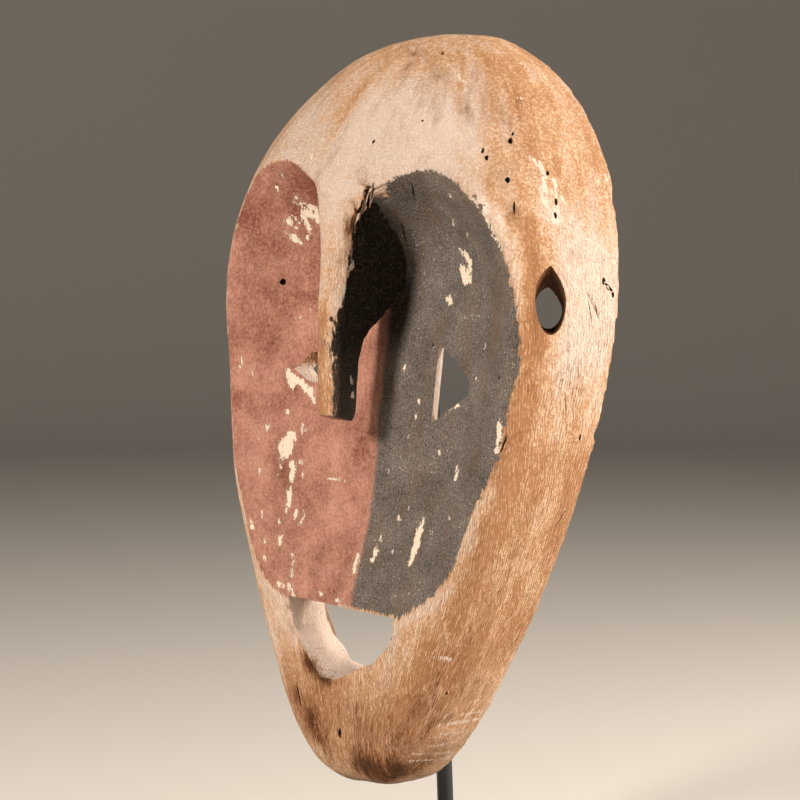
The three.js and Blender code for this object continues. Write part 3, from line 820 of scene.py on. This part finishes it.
# Painted shade: the black paint darkens next to the nose's left flank, and a painted shadow of the
# blade lies on the face behind its lower part.
soot_and_shade = 0.4 * np.exp(-((np.maximum(beside_flank, 0) / 7) ** 2)) * (x > 4)
soot_and_shade = soot_and_shade * step(z, 266, 286) * step(z, 338, 318)
painted_nose_shadow = 1.4 * np.exp(-(((x - 6) / 9.5) ** 2) - ((z - 272) / 20) ** 2)
soot_and_shade = np.minimum(np.maximum(soot_and_shade, painted_nose_shadow), 0.95) * (painted > 0)
# The flank itself is darkened, partly its own charred, torn wood and partly painted shade.
soot_and_shade = np.where(on_flank, mix(0.72, 1, step(z, 232, 262)), soot_and_shade)
lost = edge_distance(front_view, LOST_RED + LOST_BLACK)
lost = np.where((in_front & (painted > 0)) | below_surface, 20, lost)
lost = np.minimum(lost, edge_distance(points, SCRATCHES))
wear_light_and_shade = blobs(points, RUBBED_PALE) - blobs(points, HONEY) - soft_strokes(points, DARKENED)
wear_light_and_shade += 0.5 * np.exp(-(((painted + 4) / 4) ** 2)) * ~below_surface
# The gaps between the torn fibres are also painted dark, as shade in these crevices.
soil_and_shade = blobs(points, SMUDGES_AND_SHADE) + soft_strokes(points, STAINS_AND_SHADE) + 2.5 * split_gaps(points)
# Painted shade on the cuts: the cord holes' walls and the right eye's upper lid facet, which faces
# down, are painted darker.
in_cord_hole = (np.abs(z - CORD_HOLE_HEIGHT) < 26) & (np.abs(x) > 90)
shaded_upper_lid = (x < -30) & (z > 238)
cut_soil_and_shade = np.where(in_cord_hole, 1.5, np.where(shaded_upper_lid, 0.9, -0.6))
# Cut walls are made pale, partly the fresh wood of a knife cut and partly painted light on the
# mouth's wall; the cord holes' walls and the upper lid facet stay darker as painted shade.
cut_pallor_light_and_shade = np.where(in_cord_hole | shaded_upper_lid, 0, 1.5)
grain = np.stack([
    110 * x / np.maximum(half_width(span(z)), 50),
    70 * (y - rim(z)) / np.maximum(bulge(span(z)), 40),
    z,
], 1)

mesh = mask.data
corners = np.empty(len(mesh.loops), dtype=np.int32)
mesh.loops.foreach_get("vertex_index", corners)
materials = np.empty(len(mesh.polygons), dtype=np.int32)
mesh.polygons.foreach_get("material_index", materials)
lengths = np.empty(len(mesh.polygons), dtype=np.int32)
mesh.polygons.foreach_get("loop_total", lengths)
cut_corner = np.repeat(materials, lengths) > 0
in_pit = np.repeat(materials, lengths) > 1
store(mask, "grain", grain[corners], "FLOAT_VECTOR")
store(mask, "coat", np.where(cut_corner, -8, coat[corners]))
store(mask, "left_of_border", left_of_border[corners])
store(mask, "lost", lost[corners])
store(mask, "wear_light_and_shade", np.where(cut_corner, cut_pallor_light_and_shade[corners], wear_light_and_shade[corners]))
# Every pit is given a high value, which paints it dark as shade in its depth.
store(mask, "soil_and_shade", np.where(in_pit, 3, soil_and_shade[corners] + cut_corner * cut_soil_and_shade[corners]))
store(mask, "hollow", np.where(cut_corner, 0, inside[corners]))
store(mask, "soot_and_shade", soot_and_shade[corners])
mesh.polygons.foreach_set("use_smooth", materials == 0)
mesh.polygons.foreach_set("material_index", np.zeros_like(materials))
while len(mesh.materials) > 1:
    mesh.materials.pop()
bpy.data.materials.remove(cut_wood)
bpy.data.materials.remove(pit_wood)

# Old light hardwood under two matt earth paints. The wood is open-pored and dry, honey
# brown where it lies deep and bleached to a pinkish cream where it is rubbed; the paint is
# a chalky film that breaks off in flakes along the grain and shows its cream ground.
MM = 0.001
tree = wood_tree
object_place = add(tree, "TexCoord").outputs["Object"]
mm = add(tree, "VectorMath", {0: object_place, "Scale": 1000}, operation="SCALE")
flow = add(tree, "Attribute", attribute_name="grain").outputs["Vector"]
coat, left_of_border, lost, wear_light_and_shade, soil_and_shade, in_hollow, soot_and_shade = (
    add(tree, "Attribute", attribute_name=name).outputs["Fac"]
    for name in ("coat", "left_of_border", "lost", "wear_light_and_shade", "soil_and_shade", "hollow", "soot_and_shade")
)

# Growth streaks about 10 mm wide, blotches of 25 mm, a weathered mottle of about 1.7 mm, small
# dark pits, and fibres that run in waves and stand up pale and worn between brown gaps. Real
# fibres are finer than the picture shows, so these are drawn 0.8 mm wide and 5 mm long.
bend = add(tree, "TexNoise", {"Vector": mm, "Scale": 0.045, "Detail": 2}).outputs["Color"]
waves = add(
    tree, "VectorMath", {0: bend, 1: (5, 5, 5), 2: flow}, operation="MULTIPLY_ADD"
)
streak_flow = add(tree, "VectorMath", {0: waves, 1: (0.1, 0.1, 0.012)}, operation="MULTIPLY")
streaks = add(tree, "TexNoise", {"Vector": streak_flow, "Scale": 1, "Detail": 4})
blotches = add(tree, "TexNoise", {"Vector": mm, "Scale": 0.04, "Detail": 5, "Roughness": 0.65})
mottle = add(tree, "TexNoise", {"Vector": mm, "Scale": 0.6, "Detail": 3, "Roughness": 0.72})
fibre_flow = add(tree, "VectorMath", {0: waves, 1: (1.2, 1.2, 0.2)}, operation="MULTIPLY")
fibre_noise = add(
    tree, "TexNoise",
    {"Vector": fibre_flow, "Scale": 1, "Detail": 4, "Roughness": 0.65, "Distortion": 0.3},
)
patch_flow = add(tree, "VectorMath", {0: waves, 1: (0.08, 0.08, 0.035)}, operation="MULTIPLY")
patch_noise = add(
    tree, "TexNoise", {"Vector": patch_flow, "Scale": 1, "Detail": 6, "Roughness": 0.7}
)
patches = add(
    tree, "MapRange", {"Value": patch_noise, "From Min": 0.44, "From Max": 0.56, "To Max": 0.45}
)
ring_flow = add(tree, "VectorMath", {0: waves, 1: (0.36, 0.36, 0.02)}, operation="MULTIPLY")
rings = add(
    tree, "TexWave",
    {"Vector": ring_flow, "Scale": 1, "Distortion": 3, "Detail": 2, "Detail Scale": 1.2},
    bands_direction="DIAGONAL",
)
height_up = add(tree, "SeparateXYZ", {0: mm}).outputs["Z"]
ring_strength = add(
    tree, "MapRange",
    {"Value": height_up, "From Min": 410, "From Max": 230, "To Min": 0.02, "To Max": 0.1},
)
mottle_share = add(
    tree, "MapRange",
    {"Value": height_up, "From Min": 430, "From Max": 320, "To Min": 0.95, "To Max": 0.3},
)
mixed_fibres = add(
    tree, "MixRGB", {"Fac": mottle_share, "Color1": fibre_noise, "Color2": mottle}
)
fibre_height = add(
    tree, "Math", {0: rings, 1: ring_strength, 2: mixed_fibres}, operation="MULTIPLY_ADD"
)
fibres = add(
    tree, "MapRange", {"Value": fibre_height, "From Min": 0.43, "From Max": 0.64},
    interpolation_type="SMOOTHSTEP",
)
pit_noise = add(tree, "TexNoise", {"Vector": mm, "Scale": 0.6, "Detail": 3, "Roughness": 0.7})
small_pits = add(tree, "MapRange", {"Value": pit_noise, "From Min": 0.6, "From Max": 0.7})
tone = wear_light_and_shade
for pattern, strength in ((blotches, 1.6), (streaks, 1.7), (mottle, 1.7)):
    tone = add(tree, "Math", {0: pattern, 1: strength, 2: tone}, operation="MULTIPLY_ADD")
tone = add(tree, "Math", {0: tone, 1: patches})
tan_share = add(tree, "MapRange", {"Value": tone, "From Min": 2.05, "From Max": 2.75})
pale_share = add(tree, "MapRange", {"Value": tone, "From Min": 2.6, "From Max": 3.6})
wood = add(
    tree, "MixRGB", {"Fac": tan_share, "Color1": linear("#bb885f"), "Color2": linear("#e4ba93")}
)
wood = add(tree, "MixRGB", {"Fac": pale_share, "Color1": wood, "Color2": linear("#f4e1d3")})
gap_strength = add(tree, "MapRange", {"Value": pale_share, "To Min": 0.52, "To Max": 0.33})
gaps = add(tree, "Math", {0: 1.0, 1: fibres}, operation="SUBTRACT")
gap_share = add(tree, "Math", {0: gaps, 1: gap_strength}, operation="MULTIPLY")
wood = add(tree, "MixRGB", {"Fac": gap_share, "Color1": wood, "Color2": linear("#a06f49")})
crest_share = add(
    tree, "MapRange", {"Value": fibre_height, "From Min": 0.57, "From Max": 0.68, "To Max": 0.42}
)
wood = add(tree, "MixRGB", {"Fac": crest_share, "Color1": wood, "Color2": linear("#f0d8c0")})
pit_share = add(tree, "Math", {0: small_pits, 1: 0.5}, operation="MULTIPLY")
wood = add(tree, "MixRGB", {"Fac": pit_share, "Color1": wood, "Color2": linear("#7e5533")})
smoke_share = add(tree, "Math", {0: in_hollow, 1: 0.6}, operation="MULTIPLY")
wood = add(tree, "MixRGB", {"Fac": smoke_share, "Color1": wood, "Color2": linear("#7a5a3e")})
# Grime, together with painted shade in pits, cord holes, the upper lid, under the chin and under
# the mouth's top edge, darkens the wood from here.
dirt_and_shade = soil_and_shade
for pattern, strength in ((blotches, 0.9), (patch_noise, 3.2), (mottle, 2.6), (fibres, -0.6)):
    dirt_and_shade = add(tree, "Math", {0: pattern, 1: strength, 2: dirt_and_shade}, operation="MULTIPLY_ADD")
stain_and_shade_share = add(
    tree, "MapRange", {"Value": dirt_and_shade, "From Min": 3.15, "From Max": 4.2, "To Max": 0.95}
)
wood = add(
    tree, "MixRGB", {"Fac": stain_and_shade_share, "Color1": wood, "Color2": linear("#b08a5e")},
    blend_type="MULTIPLY",
)
grime_and_shade_share = add(
    tree, "MapRange", {"Value": dirt_and_shade, "From Min": 3.75, "From Max": 4.75, "To Max": 0.92}
)
wood = add(tree, "MixRGB", {"Fac": grime_and_shade_share, "Color1": wood, "Color2": linear("#432c1d")})

# Red ochre on the right half of the face and lamp black on the left, brushed on thinly: the
# red is clouded, the black is peppered with grey grains about 1 mm wide and brown in streaks.
# The nose's left flank is near black, partly its own charred, torn wood and partly painted
# shade; painted shade fades from it over the black paint, and a painted shadow of the blade
# lies on the face behind it.
clouds = add(tree, "TexNoise", {"Vector": mm, "Scale": 0.045, "Detail": 5, "Roughness": 0.65})
grains = add(tree, "TexNoise", {"Vector": mm, "Scale": 1.1, "Detail": 2, "Roughness": 0.8})
lower = add(
    tree, "MapRange", {"Value": height_up, "From Min": 405, "From Max": 340, "To Max": 0.18}
)
cloud_tone = lower
for pattern, strength in ((clouds, 1.3), (fibres, 0.1), (streaks, 0.5), (mottle, 1.1)):
    cloud_tone = add(
        tree, "Math", {0: pattern, 1: strength, 2: cloud_tone}, operation="MULTIPLY_ADD"
    )
cloud_share = add(tree, "MapRange", {"Value": cloud_tone, "From Min": 1.24, "From Max": 1.94})
red = add(
    tree, "MixRGB", {"Fac": cloud_share, "Color1": linear("#774638"), "Color2": linear("#bd8c79")}
)
black_tone = add(tree, "Math", {0: fibres, 1: 0.06, 2: grains}, operation="MULTIPLY_ADD")
black_tone = add(tree, "Math", {0: clouds, 1: 0.4, 2: black_tone}, operation="MULTIPLY_ADD")
grain_share = add(tree, "MapRange", {"Value": black_tone, "From Min": 0.56, "From Max": 1.0})
black = add(
    tree, "MixRGB", {"Fac": grain_share, "Color1": linear("#3e3936"), "Color2": linear("#8f857d")}
)
brown_share = add(
    tree, "MapRange", {"Value": streaks, "From Min": 0.5, "From Max": 0.72, "To Max": 0.5}
)
black = add(tree, "MixRGB", {"Fac": brown_share, "Color1": black, "Color2": linear("#6b553f")})
border = add(tree, "Math", {0: clouds, 1: 8, 2: left_of_border}, operation="MULTIPLY_ADD")
left_share = add(tree, "MapRange", {"Value": border, "From Min": 3, "From Max": 6})
paint = add(tree, "MixRGB", {"Fac": left_share, "Color1": red, "Color2": black})
soot_and_shade_share = add(tree, "Math", {0: soot_and_shade, 1: 0.95}, operation="MULTIPLY")
torn_share = add(tree, "MapRange", {"Value": mottle, "From Min": 0.48, "From Max": 0.68})
soot_and_shade_colour = add(
    tree, "MixRGB", {"Fac": torn_share, "Color1": linear("#0c0a07"), "Color2": linear("#4a3b28")}
)
paint = add(tree, "MixRGB", {"Fac": soot_and_shade_share, "Color1": paint, "Color2": soot_and_shade_colour})

# The paint's edge runs out along the grain in teeth 1 to 2 mm wide. Where it has flaked, and
# in scattered specks of half a millimetre to 2 mm, the cream ground shows.
tooth_flow = add(tree, "VectorMath", {0: waves, 1: (0.6, 0.6, 0.12)}, operation="MULTIPLY")
teeth = add(tree, "TexNoise", {"Vector": tooth_flow, "Scale": 1, "Detail": 3, "Roughness": 0.65})
ragged = add(tree, "Math", {0: teeth, 1: 9, 2: coat}, operation="MULTIPLY_ADD")
ragged = add(tree, "Math", {0: mottle, 1: 3, 2: ragged}, operation="MULTIPLY_ADD")
painted = add(tree, "MapRange", {"Value": ragged, "From Min": 5.7, "From Max": 6.3})
flake_edge = add(tree, "Math", {0: teeth, 1: 6, 2: lost}, operation="MULTIPLY_ADD")
flake_edge = add(tree, "Math", {0: mottle, 1: 5, 2: flake_edge}, operation="MULTIPLY_ADD")
flaked = add(tree, "MapRange", {"Value": flake_edge, "From Min": 5.6, "From Max": 5.2})
speck_noise = add(tree, "TexNoise", {"Vector": mm, "Scale": 1.1, "Detail": 1})
speck_tone = add(tree, "Math", {0: clouds, 1: 0.4, 2: speck_noise}, operation="MULTIPLY_ADD")
speck_tone = add(tree, "Math", {0: soot_and_shade, 1: -0.06, 2: speck_tone}, operation="MULTIPLY_ADD")
specks = add(
    tree, "MapRange", {"Value": speck_tone, "From Min": 0.94, "From Max": 0.98, "To Max": 0.75}
)
bare_ground = add(tree, "Math", {0: flaked, 1: specks}, operation="MAXIMUM")
film = add(
    tree, "MixRGB", {"Fac": bare_ground, "Color1": paint, "Color2": linear("#e6d6c2")}
)
chalk_share = add(tree, "Math", {0: flaked, 1: 0.8}, operation="MULTIPLY")
wood = add(tree, "MixRGB", {"Fac": chalk_share, "Color1": wood, "Color2": linear("#f4e6d6")})
surface = add(tree, "MixRGB", {"Fac": painted, "Color1": wood, "Color2": film})

# Relief in millimetres: fibres, mottle and pits in the wood, the film's thickness over them.
wood_relief = add(tree, "Math", {0: fibres, 1: 0.4}, operation="MULTIPLY")
wood_relief = add(tree, "Math", {0: mottle, 1: 1.3, 2: wood_relief}, operation="MULTIPLY_ADD")
wood_relief = add(
    tree, "Math", {0: small_pits, 1: -0.5, 2: wood_relief}, operation="MULTIPLY_ADD"
)
covered = add(tree, "Math", {0: painted, 1: bare_ground}, operation="SUBTRACT", use_clamp=True)
flatter = add(tree, "MapRange", {"Value": painted, "To Min": 1.0, "To Max": 0.4})
relief = add(tree, "Math", {0: wood_relief, 1: flatter}, operation="MULTIPLY")
relief = add(tree, "Math", {0: covered, 1: 0.3, 2: relief}, operation="MULTIPLY_ADD")
relief = add(tree, "Math", {0: grains, 1: 0.2, 2: relief}, operation="MULTIPLY_ADD")
bump = add(tree, "Bump", {"Height": relief, "Distance": MM})
roughness = add(tree, "MapRange", {"Value": painted, "To Min": 0.72, "To Max": 0.88})
body = add(
    tree, "BsdfPrincipled",
    {
        "Base Color": surface, "Roughness": roughness, "Normal": bump, "IOR": 1.45,
        "Specular IOR Level": 0.2,
    },
)
add(tree, "OutputMaterial", {"Surface": body})

place(mask, *((positions(mask) + MASK_PLACE) * MM).T)
mask.data.set_sharp_from_angle(angle=radians(32))
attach(mask, "root")
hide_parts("mask")


# The stand: a round steel rod up the back of the mask, welded to a flat steel foot with
# rounded corners. Both are brushed with satin black paint.
satin_black, tree = new_material("satin_black_paint_on_steel")
object_place = add(tree, "TexCoord").outputs["Object"]
brush_marks = add(
    tree, "TexNoise", {"Vector": object_place, "Scale": 400, "Detail": 3, "Roughness": 0.6}
)
smears = add(tree, "TexNoise", {"Vector": object_place, "Scale": 25, "Detail": 2})
gloss = add(tree, "MapRange", {"Value": smears, "To Min": 0.3, "To Max": 0.5})
dents = add(tree, "Bump", {"Height": brush_marks, "Distance": 0.00006})
shade = add(
    tree, "MixRGB", {"Fac": smears, "Color1": linear("#121418"), "Color2": linear("#24262b")}
)
paint_coat = add(
    tree, "BsdfPrincipled",
    {"Base Color": shade, "Roughness": gloss, "Normal": dents, "IOR": 1.5},
)
add(tree, "OutputMaterial", {"Surface": paint_coat})
for name in ("stand_rod", "stand_foot"):
    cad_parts[name].data.materials.clear()
    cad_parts[name].data.materials.append(satin_black)
